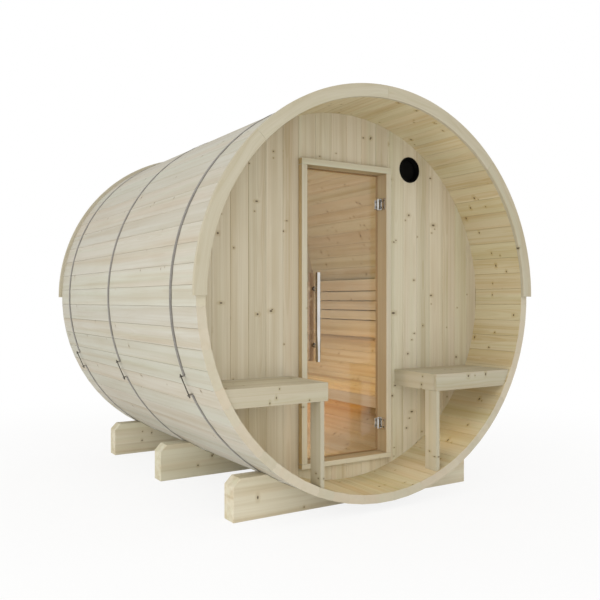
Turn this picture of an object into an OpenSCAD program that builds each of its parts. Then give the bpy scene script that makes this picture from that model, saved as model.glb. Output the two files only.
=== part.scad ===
// Barrel sauna: a lying stave barrel on three cradles, with a porch, a glass door and one inner bench.
// The origin is on the ground, under the middle of the barrel. The barrel's axis lies along Y and the
// door end faces -Y. All sizes are in millimetres.

/* [Barrel] */
// Outer radius of the stave barrel
barrel_r = 1020; // [880:5:1250]
// Length of the staves
barrel_len = 2232; // [1800:1:2800]
// Thickness of a stave
stave_t = 44; // [28:1:60]
// Thickness of the flat arch boards on the stave ends
arch_t = 18; // [12:1:30]
// How far an arch board stands out past the staves
arch_lip = 19; // [5:1:40]

/* [Walls] */
// Depth of the porch, from the stave ends to the front wall
porch_depth = 350; // [250:5:600]
// Thickness of the end walls
wall_t = 42; // [28:1:60]
// Recess of the rear wall behind the rear stave ends
rear_recess = 60; // [20:1:150]
// Sideways place of the centre of the round vent
vent_x = 449; // [420:1:560]
// Distance from the round vent's rim to the barrel's inside
vent_in = 54; // [20:1:200]
// Outer diameter of the round vent's flange
vent_d = 145; // [100:1:180]
// Wall of the vent sleeve
vent_wall = 4; // [2:0.5:8]

/* [Door] */
// Outer width of the door frame
frame_w = 584; // [500:1:660]
// Distance from the top of the door frame to the top of the barrel's inside
head_clear = 264; // [200:1:400]
// Distance from the bottom of the barrel's inside to the bottom of the door frame
sill_clear = 87; // [70:1:200]
// Face width of the jambs and the head
frame_face = 33; // [24:1:50]
// Face height of the sill
sill_face = 26; // [18:1:50]
// How far the frame stands out from the front wall
frame_proud = 32; // [5:1:60]
// Depth of the frame, through the wall
frame_depth = 100; // [90:1:160]
// Thickness of the door glass
glass_t = 8; // [6:1:12]
// Set-back of the glass behind the frame's front face
glass_set = 72; // [60:1:78]
// Gap around the door glass
door_gap = 5; // [5:0.5:10]
// How far the door stop stands into the opening
stop_w = 12; // [8:1:20]
// Length of the handle bars
handle_len = 470; // [300:5:800]
// Diameter of the handle bars
handle_d = 28; // [16:1:40]
// Distance between the two fixings of the handle
handle_pitch = 300; // [200:1:600]
// Distance from the glass to the axis of a handle bar
handle_off = 50; // [35:1:80]
// Distance from the free edge of the glass to the handle
handle_in = 88; // [50:1:150]
// Height of the middle of the handle above the sill
handle_up = 753; // [600:1:900]
// Height of a hinge
hinge_h = 64; // [40:1:100]
// Distance from the head of the frame to the middle of the upper hinge
hinge_top_in = 165; // [80:1:300]
// Distance from the sill to the middle of the lower hinge
hinge_low_in = 159; // [80:1:300]
// Diameter of the hinge knuckle
knuckle_d = 16; // [12:1:20]

/* [Bands] */
// Width of a steel band
band_w = 25; // [15:1:40]
// Thickness of a steel band
band_t = 1.5; // [1:0.1:3]
// Height of the bent ears at the band's ends
ear_h = 22; // [16:1:40]
// Diameter of the threaded tensioner rod
rod_d = 6; // [5:1:12]
// Angle of the upper ear below the horizontal
ear_from = 21; // [5:0.5:40]
// Angle between the two ears
ear_span = 5.2; // [4:0.1:10]
// Height of the rod's axis above the staves
rod_up = 15.5; // [10:0.5:30]
// How far a band lies behind the centre of its cradle
band_back = 26; // [0:1:30]

/* [Cradles] */
// Thickness of a cradle beam
cradle_t = 95; // [60:1:140]
// Half the length of a cradle beam
cradle_half = 739; // [600:1:900]
// Height of a cradle beam at its ends
cradle_h = 205; // [150:1:240]
// Wood left under the barrel in a cradle's saddle
saddle_min = 40; // [25:1:70]
// Chamfer at the upper corners of a cradle
cradle_cut = 38; // [10:1:60]
// Distance from the stave ends to the front cradle's centre
cradle_front = 257; // [150:1:400]
// Distance from the stave ends to the middle cradle's centre
cradle_middle = 1177; // [800:1:1400]
// Distance from the rear stave ends to the rear cradle's centre
cradle_rear = 225; // [150:1:400]

/* [Porch benches] */
// Distance from the door frame's side to a porch bench, across the barrel
bench_clear = 49; // [10:1:120]
// Height of the porch benches above the bottom of the barrel's inside
bench_up = 568; // [450:1:650]
// Height of the boards along a bench's edges
apron_h = 88; // [60:1:120]
// Thickness of the edge boards and of the posts
apron_t = 22; // [15:1:30]
// Thickness of a bench's top
bench_top_t = 28; // [18:1:40]
// Width of a post, along the barrel
post_w = 88; // [60:1:120]
// Set-back of a porch bench behind the stave ends
bench_set = 8; // [0:1:30]

/* [Inner bench] */
// Distance from the door frame's side to the front of the inner bench, across the barrel
seat_clear = 34; // [5:1:120]
// Height of the inner bench above the bottom of the barrel's inside
seat_up = 398; // [330:1:480]
// Height of the inner bench's front board
seat_apron_h = 68; // [50:1:100]
// Thickness of the seat boards
seat_t = 28; // [18:1:40]
// Distance from the face of the backrest to the side of the barrel's inside
back_in = 113; // [90:1:160]
// Thickness of a backrest slat
slat_t = 20; // [15:1:30]

/* [Hidden] */
STAVES = 68;
SEGMENTS = 14;
WOOD = [0.79, 0.75, 0.65];
WALL = [0.73, 0.69, 0.59];
STEEL = [0.62, 0.63, 0.64];
BLACK = [0.06, 0.06, 0.06];
GLASS = [0.72, 0.55, 0.40, 0.45];
touch = 0.3;                                // clearance of pieces that lie on each other
stave_a = 360 / STAVES;
inner_r = barrel_r - stave_t;
inner_flat = inner_r * cos(stave_a / 2);    // distance from the axis to a stave's flat inner face
axis_z = barrel_r + saddle_min;             // height of the barrel's axis above the ground
y0 = -barrel_len / 2;                       // front stave ends
y1 = barrel_len / 2;                        // rear stave ends
wall_y = y0 + porch_depth;
rear_y = y1 - rear_recess - wall_t;
frame_y = wall_y - frame_proud;
half_w = frame_w / 2;
frame_up = inner_flat - head_clear;
frame_down = inner_flat - sill_clear;
open_w = half_w - frame_face;               // half the clear width of the door opening
open_top = frame_up - frame_face;
open_low = -frame_down + sill_face;
glass_y = frame_y + glass_set;
glass_back = glass_y + glass_t;
stop_y = glass_back + door_gap;             // front of the door stop
leaf_t = 4;
leaf_in = 10;                               // from the front of the frame to the hinge leaf
lug_t = 6;
pin_d = 8;
pin_play = 0.08;                            // radial clearance of the hinge pin
pin_x = open_w - leaf_t - knuckle_d / 2 - 2;
pin_y = glass_y - knuckle_d / 2 - 4;
clamp_w = 16;
clamp_t = 5;
clamp_h = hinge_h - 2 * lug_t - 2 * touch;
glass_right = open_w - door_gap;
glass_left = -open_w + door_gap;
tube_wall = 2;                              // wall of the handle tubes
handle_x = glass_left + handle_in;
vent_reach = inner_flat - vent_in - vent_d / 2;
vent_up = sqrt(vent_reach * vent_reach - vent_x * vent_x);
vent_bore = vent_d - 14;
vent_hole = vent_bore + 2 * vent_wall + 2;
band_r = barrel_r + touch;
cradle_y = [y0 + cradle_front, y0 + cradle_middle, y1 - cradle_rear];
band_y = [for (c = cradle_y) c + band_back];
ear_r = barrel_r + ear_h;
rod_r = barrel_r + rod_up;
ear_gap = 2 * rod_r * tan(ear_span / 2);    // distance between the ears at the rod
bench_gap = half_w + bench_clear;           // half the clear way between the porch benches
bench_z = bench_up - inner_flat;
apron_z = bench_z - apron_h;
seat_x = half_w + seat_clear;
seat_z = seat_up - inner_flat;
back_x = inner_flat - back_in;
cabin_y0 = wall_y + wall_t;
cabin_y1 = rear_y;
slat_edges = [131, 45, -25, -93, -163, -286];
slat_gap = 6;

SHELLS = [for (i = [1 : SEGMENTS]) str("shell_", i < 10 ? "0" : "", i)];

// Point on a circle around the barrel's axis, in the XZ plane
function ring(r, a) = [r * cos(a), r * sin(a)];

// Closed outline of all staves at one corner radius
function stave_outline(r) = [for (k = [0 : STAVES - 1]) ring(r, (k - 0.5) * stave_a)];

// Puts an XZ outline on the barrel's axis and pulls it along Y from a to b
module along(a, b) {
    translate([0, b, axis_z])
        rotate([90, 0, 0])
            linear_extrude(height = b - a)
                children();
}

// Moves something drawn from the barrel's axis up to its height
module on_axis() {
    translate([0, 0, axis_z])
        children();
}

// Box given by its low and high corners
module span_box(low, high) {
    translate(low)
        cube(high - low);
}

// Round bar along one axis through a point: turn is the rotation from +Z
module bar(point, turn, d, len) {
    translate(point)
        rotate(turn)
            cylinder(d = d, h = len, center = true, $fn = 48);
}

// A run of whole staves, with flat faces and joints that point at the barrel's axis
module shell_segment(i) {
    first = round(i * STAVES / SEGMENTS);
    last = round((i + 1) * STAVES / SEGMENTS);
    color(WOOD)
        along(y0, y1)
            polygon(concat(
                [for (k = [first : last]) ring(barrel_r, (k - 0.5) * stave_a)],
                [for (k = [last : -1 : first]) ring(inner_r, (k - 0.5) * stave_a)]));
}

// The part of an end wall's round outline that lies in an XZ window
module wall_piece(a, b, low, high) {
    along(a, b)
        intersection() {
            polygon(stave_outline(inner_r));
            translate(low)
                square(high - low);
        }
}

module front_wall_left() {
    color(WALL)
        wall_piece(wall_y, wall_y + wall_t, [-barrel_r, -barrel_r], [-half_w, barrel_r]);
}

module front_wall_right() {
    color(WALL)
        difference() {
            wall_piece(wall_y, wall_y + wall_t, [half_w, -barrel_r], [barrel_r, barrel_r]);
            on_axis()
                bar([vent_x, wall_y + wall_t / 2, vent_up], [90, 0, 0], vent_hole, 2 * wall_t);
        }
}

module front_wall_over_door() {
    color(WALL)
        wall_piece(wall_y, wall_y + wall_t, [-half_w, frame_up], [half_w, barrel_r]);
}

module front_wall_under_door() {
    color(WALL)
        wall_piece(wall_y, wall_y + wall_t, [-half_w, -barrel_r], [half_w, -frame_down]);
}

module rear_wall() {
    color(WALL)
        wall_piece(rear_y, rear_y + wall_t, [-barrel_r, -barrel_r], [barrel_r, barrel_r]);
}

// Half ring of flat board over the upper half of the stave ends
module arch(a) {
    color(WOOD)
        along(a, a + arch_t)
            intersection() {
                difference() {
                    circle(r = barrel_r + arch_lip, $fn = 180);
                    circle(r = inner_flat, $fn = 180);
                }
                translate([-2 * barrel_r, 0])
                    square([4 * barrel_r, 2 * barrel_r]);
            }
}

module front_arch() {
    arch(y0 - arch_t);
}

module rear_arch() {
    arch(y1);
}

// Black vent: a flange on the porch side and a sleeve in the wall, closed by a plate at its inner end
module vent_sleeve() {
    flange_t = 6;
    plate_t = 4;
    color(BLACK)
        on_axis()
            translate([vent_x, wall_y, vent_up])
                rotate([-90, 0, 0])
                    difference() {
                        union() {
                            translate([0, 0, -flange_t])
                                cylinder(d = vent_d, h = flange_t, $fn = 96);
                            translate([0, 0, -1])
                                cylinder(d = vent_bore + 2 * vent_wall, h = wall_t + 1, $fn = 96);
                        }
                        translate([0, 0, -2 * flange_t])
                            cylinder(d = vent_bore, h = 2 * flange_t + wall_t - plate_t, $fn = 96);
                    }
}

module door_jamb_right() {
    color(WALL)
        on_axis()
            span_box([open_w, frame_y, open_low], [half_w, frame_y + frame_depth, open_top]);
}

// Jamb on the handle side, with the stop that the glass closes against
module door_jamb_left() {
    color(WALL)
        on_axis()
            union() {
                span_box([-half_w, frame_y, open_low], [-open_w, frame_y + frame_depth, open_top]);
                span_box([-open_w - 1, stop_y, open_low],
                    [-open_w + stop_w, frame_y + frame_depth, open_top]);
            }
}

module door_head() {
    color(WALL)
        on_axis()
            union() {
                span_box([-half_w, frame_y, open_top], [half_w, frame_y + frame_depth, frame_up]);
                span_box([-open_w + stop_w, stop_y, open_top - stop_w],
                    [open_w, frame_y + frame_depth, open_top + 1]);
            }
}

module door_sill() {
    color(WALL)
        on_axis()
            union() {
                span_box([-half_w, frame_y, -frame_down], [half_w, frame_y + frame_depth, open_low]);
                span_box([-open_w + stop_w, stop_y, open_low - 1],
                    [open_w, frame_y + frame_depth, open_low + stop_w]);
            }
}

fix_d = 12;
handle_z = open_low + handle_up;
fix_z = [handle_z - handle_pitch / 2, handle_z + handle_pitch / 2];

module door_glass() {
    color(GLASS)
        on_axis()
            difference() {
                span_box([glass_left, glass_y, open_low + door_gap],
                    [glass_right, glass_back, open_top - door_gap]);
                for (z = fix_z)
                    bar([handle_x, glass_y, z], [90, 0, 0], fix_d, 6 * glass_t);
            }
}

// One bar on each side of the glass, joined by two round fixings through it
module door_handle() {
    fix_run = glass_t + 2 * handle_off - handle_d + 2;
    grip_y = [glass_y - handle_off, glass_back + handle_off];
    middle_y = glass_y + glass_t / 2;
    color(STEEL)
        on_axis() {
            difference() {
                union() {
                    for (y = grip_y)
                        bar([handle_x, y, handle_z], [0, 0, 0], handle_d, handle_len);
                    for (z = fix_z)
                        bar([handle_x, middle_y, z], [90, 0, 0], fix_d - 2 * touch, fix_run);
                }
                for (y = grip_y)
                    bar([handle_x, y, handle_z - tube_wall], [0, 0, 0],
                        handle_d - 2 * tube_wall, handle_len - 0.01);
            }
        }
}

hinge_z = [open_low + hinge_low_in, open_top - hinge_top_in];

// Plates on the jamb, in front of the glass, each with a pin between two lugs
module hinge_leaves() {
    lug_d = knuckle_d - 2;
    color(STEEL)
        on_axis()
            for (z = hinge_z) {
                span_box([open_w - leaf_t, frame_y + leaf_in, z - hinge_h / 2],
                    [open_w, glass_y - 5, z + hinge_h / 2]);
                bar([pin_x, pin_y, z], [0, 0, 0], pin_d, hinge_h);
                for (s = [-1, 1])
                    translate([0, 0, z + s * (hinge_h - lug_t) / 2]) {
                        bar([pin_x, pin_y, 0], [0, 0, 0], lug_d, lug_t);
                        span_box([pin_x, pin_y - lug_d / 2, -lug_t / 2],
                            [open_w, pin_y + lug_d / 2, lug_t / 2]);
                    }
            }
}

// Knuckles and clamp plates that grip the glass and turn with it
module hinge_clamps() {
    color(STEEL)
        on_axis()
            for (z = hinge_z)
                difference() {
                    union() {
                        bar([pin_x, pin_y, z], [0, 0, 0], knuckle_d, clamp_h);
                        span_box([pin_x - clamp_w, glass_y - clamp_t, z - clamp_h / 2],
                            [pin_x + 2, glass_y, z + clamp_h / 2]);
                    }
                    bar([pin_x, pin_y, z], [0, 0, 0], pin_d + 2 * pin_play, 2 * hinge_h);
                }
}

// Moves something drawn around +Z onto the tensioner rod of the band at y
module on_rod(y) {
    on_axis()
        rotate([0, -(180 + ear_from + ear_span / 2), 0])
            translate([rod_r, y, 0])
                children();
}

// Flat steel band around the barrel, open between its two bent ears, which the rod passes through
module band(y) {
    open_a = 180 + ear_from;
    reach = 2 * barrel_r;
    bend = 0.05;
    color(STEEL)
        difference() {
            along(y - band_w / 2, y + band_w / 2)
                union() {
                    difference() {
                        circle(r = band_r + band_t, $fn = 180);
                        circle(r = band_r, $fn = 180);
                        polygon([[0, 0], ring(reach, open_a), ring(reach, open_a + ear_span)]);
                    }
                    for (a = [open_a - bend, open_a + ear_span + bend])
                        rotate(a)
                            translate([band_r, -band_t])
                                square([ear_h, 2 * band_t]);
                }
            on_rod(y)
                cylinder(d = rod_d + 2 * touch, h = 3 * ear_gap, center = true, $fn = 48);
        }
}

module band_front() {
    band(band_y[0]);
}

module band_middle() {
    band(band_y[1]);
}

module band_rear() {
    band(band_y[2]);
}

// Threaded rods that pull the band ears together, with a nut outside each ear
module tensioner_rods() {
    rod_end = 14;
    nut_h = 5;
    nut_d = 1.8 * rod_d;
    nut_z = ear_gap / 2 + band_t + nut_h / 2 + 1.6;
    color(STEEL)
        for (y = band_y)
            on_rod(y) {
                cylinder(d = rod_d, h = ear_gap + 2 * rod_end, center = true, $fn = 48);
                for (s = [-1, 1])
                    translate([0, 0, s * nut_z])
                        cylinder(d = nut_d, h = nut_h, center = true, $fn = 6);
            }
}

// Beam with a round saddle for the barrel and a shallow groove for the band
module cradle(y) {
    top = cradle_h;
    band_room = 0.7;
    color(WOOD)
        difference() {
            translate([0, y + cradle_t / 2, 0])
                rotate([90, 0, 0])
                    linear_extrude(height = cradle_t)
                        polygon([
                            [-cradle_half, 0], [cradle_half, 0],
                            [cradle_half, top - cradle_cut], [cradle_half - cradle_cut, top],
                            [-cradle_half + cradle_cut, top], [-cradle_half, top - cradle_cut]]);
            on_axis() {
                bar([0, y, 0], [90, 0, 0], 2 * (barrel_r + touch), 2 * cradle_t);
                bar([0, y + band_back, 0], [90, 0, 0], 2 * (band_r + band_t + band_room), band_w + 6);
            }
        }
}

module cradle_front_beam() {
    cradle(cradle_y[0]);
}

module cradle_middle_beam() {
    cradle(cradle_y[1]);
}

module cradle_rear_beam() {
    cradle(cradle_y[2]);
}

// Half width of the barrel's inside at a height above its axis
function inside_x(z) = sqrt(inner_flat * inner_flat - z * z);

// Outline, seen from the front, of a board between the inner end and the curved wall
module bench_section(low, high, from) {
    intersection() {
        translate([from, low])
            square([barrel_r, high - low]);
        circle(r = inner_flat - touch, $fn = 180);
    }
}

// Porch bench on the right side: top boards inside a front board and an end board
module porch_bench() {
    front = y0 + bench_set;
    color(WOOD) {
        along(front, front + apron_t)
            bench_section(apron_z, bench_z, bench_gap);
        along(front + apron_t + touch, wall_y - touch)
            translate([bench_gap, apron_z])
                square([apron_t, apron_h]);
        along(front + apron_t + touch, wall_y - touch)
            bench_section(bench_z - bench_top_t, bench_z, bench_gap + apron_t + touch);
    }
}

module porch_bench_right() {
    porch_bench();
}

module porch_bench_left() {
    mirror([1, 0, 0])
        porch_bench();
}

// Post under a porch bench, down to the barrel's inside
module porch_post(from) {
    front = y0 + bench_set;
    color(WOOD)
        along(front, front + post_w)
            intersection() {
                translate([from, -barrel_r])
                    square([apron_t, barrel_r + apron_z - touch]);
                circle(r = inner_flat - touch, $fn = 180);
            }
}

module porch_post_right() {
    porch_post(bench_gap);
}

module porch_post_left() {
    porch_post(-bench_gap - 2 * apron_t);
}

seat_boards = 4;
seat_board_gap = 8;
seat_from = seat_x + apron_t + touch;
seat_to = inside_x(seat_z - seat_t) - 12;
seat_pitch = (seat_to - seat_from + seat_board_gap) / seat_boards;

module bench_seat() {
    color(WOOD)
        on_axis()
            for (i = [0 : seat_boards - 1])
                span_box([seat_from + i * seat_pitch, cabin_y0 + touch, seat_z - seat_t],
                    [seat_from + (i + 1) * seat_pitch - seat_board_gap, cabin_y1 - touch, seat_z]);
}

module bench_apron() {
    color(WOOD)
        on_axis()
            span_box([seat_x, cabin_y0 + touch, seat_z - seat_apron_h],
                [seat_x + apron_t, cabin_y1 - touch, seat_z]);
}

// Cleats on the end walls that carry the seat boards
module bench_cleats() {
    cleat = 40;
    top = seat_z - seat_t - touch;
    color(WOOD)
        for (y = [cabin_y0, cabin_y1 - cleat])
            along(y, y + cleat)
                bench_section(top - cleat, top, seat_from);
}

// Slats of the backrest
module backrest_slats() {
    end_gap = 60;
    color(WOOD)
        on_axis()
            for (i = [0 : len(slat_edges) - 2])
                span_box([back_x, cabin_y0 + end_gap, slat_edges[i + 1] + slat_gap / 2],
                    [back_x + slat_t, cabin_y1 - end_gap, slat_edges[i] - slat_gap / 2]);
}

// Upright battens between the slats and the curved wall
module backrest_battens() {
    batten_w = 40;
    from_end = 200;
    low = slat_edges[len(slat_edges) - 1];
    high = slat_edges[0];
    color(WOOD)
        for (y = [cabin_y0 + from_end, cabin_y1 - from_end - batten_w])
            along(y, y + batten_w)
                bench_section(low + 10, high - 10, back_x + slat_t + touch);
}

for (i = [0 : SEGMENTS - 1])
    shell_segment(i);
front_wall_left();
front_wall_right();
front_wall_over_door();
front_wall_under_door();
rear_wall();
front_arch();
rear_arch();
vent_sleeve();
door_jamb_left();
door_jamb_right();
door_head();
door_sill();
door_glass();
door_handle();
hinge_leaves();
hinge_clamps();
band_front();
band_middle();
band_rear();
tensioner_rods();
cradle_front_beam();
cradle_middle_beam();
cradle_rear_beam();
porch_bench_left();
porch_bench_right();
porch_post_left();
porch_post_right();
bench_seat();
bench_apron();
bench_cleats();
backrest_slats();
backrest_battens();
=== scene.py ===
import math
import random
import zlib

import bmesh
import bpy
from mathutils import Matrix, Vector

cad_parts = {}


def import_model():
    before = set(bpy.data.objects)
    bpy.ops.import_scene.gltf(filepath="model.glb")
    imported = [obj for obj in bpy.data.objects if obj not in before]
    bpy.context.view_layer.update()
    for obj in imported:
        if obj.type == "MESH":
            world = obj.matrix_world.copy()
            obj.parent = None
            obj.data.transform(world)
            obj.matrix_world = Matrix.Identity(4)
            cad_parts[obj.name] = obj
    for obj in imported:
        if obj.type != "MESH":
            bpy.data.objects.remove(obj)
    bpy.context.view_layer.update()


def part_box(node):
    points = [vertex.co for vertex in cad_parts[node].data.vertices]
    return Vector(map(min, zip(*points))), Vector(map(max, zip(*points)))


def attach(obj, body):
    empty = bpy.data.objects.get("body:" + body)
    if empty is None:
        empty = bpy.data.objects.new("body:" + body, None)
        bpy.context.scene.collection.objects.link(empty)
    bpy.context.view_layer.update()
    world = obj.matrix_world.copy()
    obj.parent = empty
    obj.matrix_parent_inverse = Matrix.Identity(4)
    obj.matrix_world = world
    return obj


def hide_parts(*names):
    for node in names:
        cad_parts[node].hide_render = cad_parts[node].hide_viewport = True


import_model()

# All sizes below are in millimetres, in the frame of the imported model.
MM = 0.001
STAVES = 68
SEGMENTS = 14  # runs of whole staves, one for each shell node
STAVE_A = 2 * math.pi / STAVES
HALF_A = STAVE_A / 2

# Grain directions for along_axis(): the corner ones are for boards seen on two faces.
UPRIGHT = "z"
UPRIGHT_CORNER, LEVEL_CORNER = "z/", "x/"


def box(node):
    """Lowest and highest corner of a CAD node, in millimetres."""
    low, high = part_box(node)
    return [c / MM for c in low], [c / MM for c in high]


shell_low, shell_high = box("shell_01")
arch_low, arch_high = box("front_arch")
Y0, Y1 = shell_low[1], shell_high[1]
AXIS_Z = arch_low[2]
STAVE_T = 44
BARREL_R = shell_high[0] / math.cos(HALF_A)
INNER_R = BARREL_R - STAVE_T
INNER_FLAT = INNER_R * math.cos(HALF_A)
ARCH_R = arch_high[2] - AXIS_Z
CLEAR_R = BARREL_R + 0.3  # bands and saddles keep off the staves by this much
GROOVE_PITCH = 99  # width of a wall board
GROOVE_AT = 9.5  # where along X one joint between wall boards lies


# ---- mesh code

def linked(name, data):
    """A new object in the scene."""
    obj = bpy.data.objects.new(name, data)
    bpy.context.scene.collection.objects.link(obj)
    return obj


class Piece:
    """Collects closed solids into one mesh, with the wood's own coordinates on every point."""

    def __init__(self, name):
        self.name = name
        self.verts, self.faces, self.wood, self.board, self.smooth, self.slots = [], [], [], [], [], []
        self.seed = random.Random(zlib.crc32(name.encode()))

    def draw(self):
        """Where one board lies in its tree (millimetres), and its tone, hue and strength of grain."""
        rnd = self.seed
        shift = (rnd.uniform(0, 90000), rnd.uniform(-30, 30), rnd.choice((-1, 1)) * rnd.uniform(35, 110))
        return shift, tuple(rnd.random() for _ in range(3))

    def add(self, verts, faces, grain=None, smooth=False, look=None, slots=None):
        """grain turns a point into (along, across, depth) of its board, in millimetres.
        slots gives the material number of the faces that don't take the first one."""
        start = len(self.verts)
        shift, (tone, hue, cut) = look or self.draw()
        self.verts += [tuple(c * MM for c in v) for v in verts]
        self.faces += [tuple(start + i for i in f) for f in faces]
        self.smooth += [smooth] * len(faces)
        self.slots += [(slots or {}).get(i, 0) for i in range(len(faces))]
        for v in verts:
            g = grain(v) if grain else v
            self.wood.append(tuple((g[i] + shift[i]) * MM for i in range(3)))
            self.board.append((tone, hue, cut))

    def done(self, material, slot, body="barrel", replaces=None, others=()):
        """Makes the object, which moves with body and stands for the CAD nodes in replaces."""
        mesh = bpy.data.meshes.new(self.name)
        mesh.from_pydata(self.verts, [], self.faces)
        for key, values in (("wood", self.wood), ("board", self.board)):
            layer = mesh.attributes.new(key, "FLOAT_VECTOR", "POINT")
            layer.data.foreach_set("vector", [c for v in values for c in v])
        mesh.polygons.foreach_set("use_smooth", self.smooth)
        if any(self.smooth):
            mesh.set_sharp_from_angle(angle=math.radians(35))
        for used in (material, *others):
            mesh.materials.append(used)
        mesh.polygons.foreach_set("material_index", self.slots)
        bm = bmesh.new()
        bm.from_mesh(mesh)
        bmesh.ops.recalc_face_normals(bm, faces=bm.faces)
        bm.to_mesh(mesh)
        bm.free()
        obj = linked(self.name, mesh)
        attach(obj, body)
        if replaces:
            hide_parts(*replaces)


def rectangle(low, high):
    return [(low[0], low[1]), (high[0], low[1]), (high[0], high[1]), (low[0], high[1])]


def quad(*corners):
    """A list with the face through these corners without repeats, or nothing if fewer than three are left."""
    face = tuple(dict.fromkeys(corners))
    return [face] if len(face) > 2 else []


def strip_faces(n):
    """Faces of a closed strip with four rows of n points: one side and the other, first low, then high."""
    faces = []
    for i in range(n - 1):
        j = i + 1
        faces += [(i, j, 2 * n + j, 2 * n + i), (n + j, n + i, 3 * n + i, 3 * n + j),
                  (j, i, n + i, n + j), (2 * n + i, 2 * n + j, 3 * n + j, 3 * n + i)]
    return faces + [(0, 2 * n, 3 * n, n), (2 * n - 1, 4 * n - 1, 3 * n - 1, n - 1)]


def extrude(outline, low, high, place):
    """Solid with a flat outline of points (a, b), pulled from low to high along c."""
    n = len(outline)
    verts = [place(a, b, low) for a, b in outline] + [place(a, b, high) for a, b in outline]
    faces = [tuple(range(n - 1, -1, -1)), tuple(range(n, 2 * n))]
    faces += [(i, (i + 1) % n, n + (i + 1) % n, n + i) for i in range(n)]
    return verts, faces


def bevelled(solid, width, segments=2, angle=30, keep=None):
    """The solid with every edge sharper than angle rounded, unless keep(point, point) says to leave it."""
    verts, faces = solid
    bm = bmesh.new()
    made = [bm.verts.new(v) for v in verts]
    for f in faces:
        bm.faces.new([made[i] for i in f])
    bmesh.ops.recalc_face_normals(bm, faces=bm.faces)
    sharp = [e for e in bm.edges if len(e.link_faces) == 2 and e.calc_face_angle() > math.radians(angle)
             and not (keep and keep(e.verts[0].co, e.verts[1].co))]
    bmesh.ops.bevel(bm, geom=sharp, offset=width, segments=segments, profile=0.5, affect="EDGES",
                    clamp_overlap=True)
    bm.verts.index_update()
    out = [tuple(v.co) for v in bm.verts], [tuple(v.index for v in f.verts) for f in bm.faces]
    bm.free()
    return out


def from_xz(a, b, c):
    """(x, height above the barrel's axis) pulled along Y."""
    return a, c, b + AXIS_Z


def from_xy(a, b, c):
    """(x, y) pulled along Z."""
    return a, b, c


def from_yz(a, b, c):
    """(y, z) pulled along X."""
    return c, a, b


def along_axis(axis, centre):
    """Wood coordinates of a straight board whose grain runs along x, y or z. A second letter names the
    direction across the board's broad face, and "/" turns the tree by 45 degrees, for a board seen on two
    faces."""
    order = {"x": (0, 1, 2), "y": (1, 0, 2), "z": (2, 0, 1)}[axis[0]]
    if axis[1:] in ("x", "y", "z"):
        across_first = "xyz".index(axis[1])
        order = (order[0], across_first, 3 - order[0] - across_first)

    def grain(v):
        along, across, depth = (v[i] - (0 if i == order[0] else centre[i]) for i in order)
        if axis[1:] == "/":
            half_turn = 0.7  # about the sine and cosine of 45 degrees
            return along, (across + depth) * half_turn, (across - depth) * half_turn
        return along, across, depth

    return grain


def plank(piece, low, high, axis, width=1.5, second=None):
    """Rectangular board with eased edges. second(x, y, z) gives the material number of the face whose middle
    is there."""
    centre = [(a + b) / 2 for a, b in zip(low, high)]
    verts, faces = bevelled(extrude(rectangle(low, high), low[2], high[2], from_xy), width)
    slots = {}
    if second:
        for i, face in enumerate(faces):
            slots[i] = second(*(sum(verts[v][k] for v in face) / len(face) for k in range(3)))
    piece.add(verts, faces, along_axis(axis, centre), slots=slots)


def lathe(piece, profile, place, steps=48, slot=0):
    """Closed ring or turned solid. profile is points (radius, height); radius 0 closes an end."""
    verts, faces, rows = [], [], []
    on_axis = 1e-6
    for r, h in profile:
        if r < on_axis:
            rows.append([len(verts)] * steps)
            verts.append(place(0, 0, h))
        else:
            rows.append(list(range(len(verts), len(verts) + steps)))
            for k in range(steps):
                a = 2 * math.pi * k / steps
                verts.append(place(r * math.cos(a), r * math.sin(a), h))
    pairs = list(zip(rows, rows[1:]))
    if profile[0][0] > on_axis and profile[-1][0] > on_axis:
        pairs.append((rows[-1], rows[0]))
    for low, high in pairs:
        for k in range(steps):
            j = (k + 1) % steps
            faces += quad(low[k], low[j], high[j], high[k])
    piece.add(verts, faces, smooth=True, slots={i: slot for i in range(len(faces))})


def turned(centre, axis, sign=1):
    """Puts a turned solid's own (a, b, height) at a centre, with its height along x, y or z, or against it."""
    cx, cy, cz = centre
    if axis == "x":
        return lambda a, b, h: (cx + sign * h, cy + a, cz + b)
    if axis == "y":
        return lambda a, b, h: (cx + a, cy + sign * h, cz + b)
    return lambda a, b, h: (cx + a, cy + b, cz + sign * h)


def arc(radius, start, end, steps):
    """Points of a circle's arc, both ends included."""
    angles = [start + (end - start) * k / steps for k in range(steps + 1)]
    return [(radius * math.cos(a), radius * math.sin(a)) for a in angles]


# ---- materials

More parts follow.
